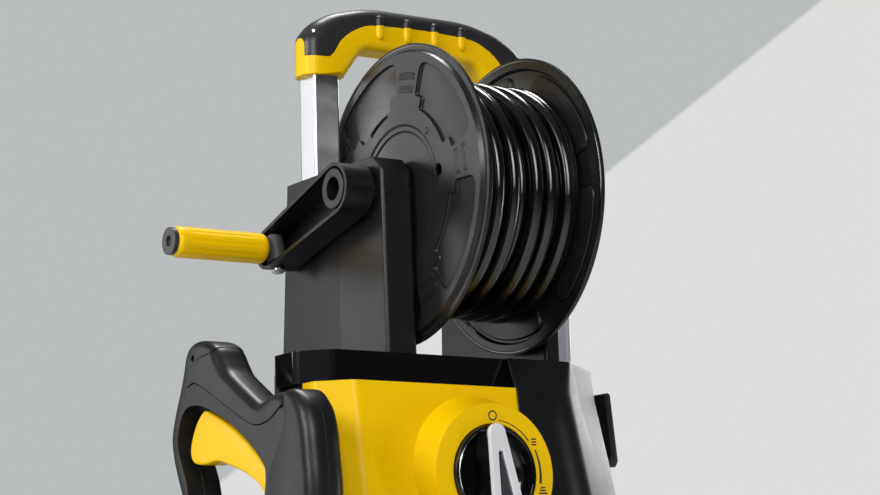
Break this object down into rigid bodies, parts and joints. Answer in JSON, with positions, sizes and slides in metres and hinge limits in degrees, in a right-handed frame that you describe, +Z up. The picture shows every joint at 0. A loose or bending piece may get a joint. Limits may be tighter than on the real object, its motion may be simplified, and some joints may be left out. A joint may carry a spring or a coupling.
{
  "type": "pressure washer",
  "caption": "Upright electric pressure washer with a crank-wound hose reel on top, telescopic handle, selector dial and a spray gun stored at its side.",
  "frame": {"origin": "on the floor under the middle of the machine's bounding box", "axes": "+Z up, -Y front with the dial, +X to the right seen from the front, along the reel's axis"},
  "size_m": [0.409, 0.367, 0.8696],
  "materials": {
    "black_satin": "satin moulded plastic",
    "black_gloss": "gloss moulded plastic",
    "yellow": "gloss moulded plastic",
    "silver_trim": "satin silver-grey plastic",
    "aluminium": "brushed",
    "steel": "brushed",
    "soft_grip": "soft-touch rubber",
    "hose_rubber": "glossy braided hose cover",
    "tyre_rubber": "rubber",
    "pointer_white": "pearl silver-white plastic",
    "cap_grey": "satin grey plastic",
    "bottle_clear": "frosted translucent plastic",
    "motor_metal": "cast",
    "brass": "machined",
    "inner_grey": "plain moulded plastic"
  },
  "bodies": {
    "machine": {"base": "black_satin", "feet": "tyre_rubber", "wheel_axle": "steel", "wheel_caps": "cap_grey", "front_cover": "yellow", "right_panel": "black_gloss", "trim_right": "silver_trim", "side_panel_right": "black_satin", "side_panel_left": "black_satin", "rear_cover": "black_satin", "top_deck": "black_gloss", "column_left": "black_satin", "column_right": "black_satin", "bearing_cap_left": "black_satin", "bearing_cap_right": "black_satin", "gun_holster": "black_satin", "dial_boss": "yellow", "bottle_holder": "black_satin", "cable_hook_upper": "black_satin", "cable_hook_lower": "black_satin", "motor": "motor_metal", "pump": "motor_metal", "switch_box": "inner_grey", "water_inlet": "brass", "inlet_filter": "inner_grey", "cable_gland": "soft_grip"},
    "handle": {"post_left": "aluminium", "post_right": "aluminium", "grip_top": "soft_grip", "grip_lower": "yellow"},
    "reel": {"flange_left": "black_satin", "flange_right": "black_satin", "drum": "black_satin", "reel_axle": "steel", "hose_winding": "hose_rubber", "crank_arm": "black_satin", "crank_pin": "steel"},
    "crank_fold": {"crank_spindle": "inner_grey"},
    "crank_handle": {"crank_grip": "yellow", "crank_cap": "cap_grey"},
    "gun": {"gun_shell_left": "black_satin", "gun_shell_right": "black_satin", "gun_soft_grip": "soft_grip", "trigger_pin": "steel", "gun_nose": "black_satin"},
    "gun_trigger": {"trigger": "yellow"},
    "dial": {"dial_knob": "black_gloss", "dial_pointer": "pointer_white"},
    "left_wheel": {"wheel_left": "black_satin", "tyre_left": "tyre_rubber"},
    "right_wheel": {"wheel_right": "black_satin", "tyre_right": "tyre_rubber"},
    "bottle": {"detergent_bottle": "bottle_clear"},
    "rotor": {"motor_shaft": "steel", "motor_fan": "inner_grey"}
  },
  "joints": [
    {"name": "handle_slide", "type": "slide", "parent": "machine", "child": "handle", "axis": [0, 0, 1], "range_m": [0, 0.16]},
    {"name": "reel_spin", "type": "hinge", "parent": "machine", "child": "reel", "pos_m": [0.0065, -0.06, 0.69], "axis": [1, 0, 0], "continuous": true},
    {"name": "crank_fold_hinge", "type": "hinge", "parent": "reel", "child": "crank_fold", "pos_m": [-0.107, 0.04909, 0.65831], "axis": [0, 0.279, 0.9603], "range_deg": [0, 75]},
    {"name": "crank_handle_spin", "type": "hinge", "parent": "crank_fold", "child": "crank_handle", "pos_m": [-0.16, 0.04909, 0.65831], "axis": [1, 0, 0], "continuous": true},
    {"name": "gun_lift", "type": "slide", "parent": "machine", "child": "gun", "axis": [0, 0, 1], "range_m": [0, 0.06]},
    {"name": "trigger_pull", "type": "hinge", "parent": "gun", "child": "gun_trigger", "pos_m": [-0.184, -0.098, 0.437], "axis": [1, 0, 0], "range_deg": [0, 8], "stiffness_Nm_per_rad": 1},
    {"name": "dial_turn", "type": "hinge", "parent": "machine", "child": "dial", "pos_m": [-0.0195, -0.12, 0.457], "axis": [0, 1, 0], "range_deg": [0, 135]},
    {"name": "wheel_left_spin", "type": "hinge", "parent": "machine", "child": "left_wheel", "pos_m": [-0.142, 0.082, 0.1], "axis": [1, 0, 0], "continuous": true},
    {"name": "wheel_right_spin", "type": "hinge", "parent": "machine", "child": "right_wheel", "pos_m": [0.142, 0.082, 0.1], "axis": [1, 0, 0], "continuous": true},
    {"name": "bottle_lift", "type": "slide", "parent": "machine", "child": "bottle", "axis": [0, 0, 1], "range_m": [0, 0.05]},
    {"name": "rotor_spin", "type": "hinge", "parent": "machine", "child": "rotor", "pos_m": [0, 0, 0.3], "axis": [0, 0, 1], "continuous": true}
  ]
}
